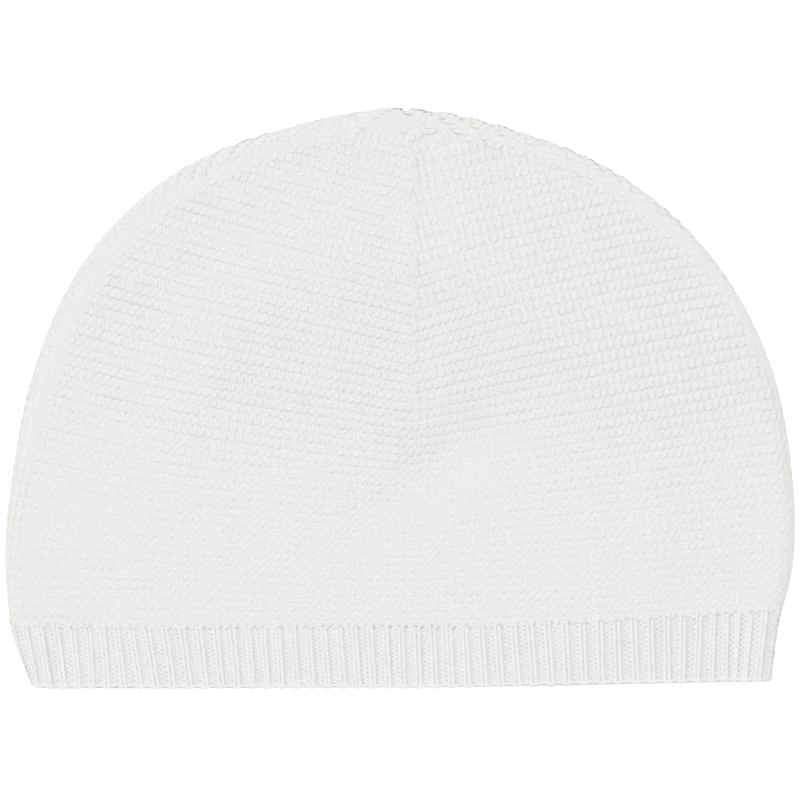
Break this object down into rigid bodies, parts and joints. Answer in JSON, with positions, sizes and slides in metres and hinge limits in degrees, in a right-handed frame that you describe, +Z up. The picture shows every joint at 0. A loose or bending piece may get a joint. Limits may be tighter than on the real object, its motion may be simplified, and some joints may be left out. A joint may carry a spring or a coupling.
{
  "type": "knitted baby hat",
  "caption": "Soft knitted baby beanie lying flat: a hollow dome of garter ridges drawn together at the tip, open at a ribbed band.",
  "frame": {"origin": "on the surface that the hat lies on, in the middle of its footprint", "axes": "+Z up from the surface, +Y from the mouth to the tip of the crown, +X to the right seen from above"},
  "size_m": [0.1866, 0.1369, 0.014],
  "materials": {
    "garter_knit": "off-white cotton knitted in garter ridges, matt",
    "rib_knit": "off-white cotton knitted in 1 x 1 rib, matt"
  },
  "bodies": {
    "root": {"crown": "garter_knit", "rib_band": "rib_knit"}
  },
  "joints": []
}
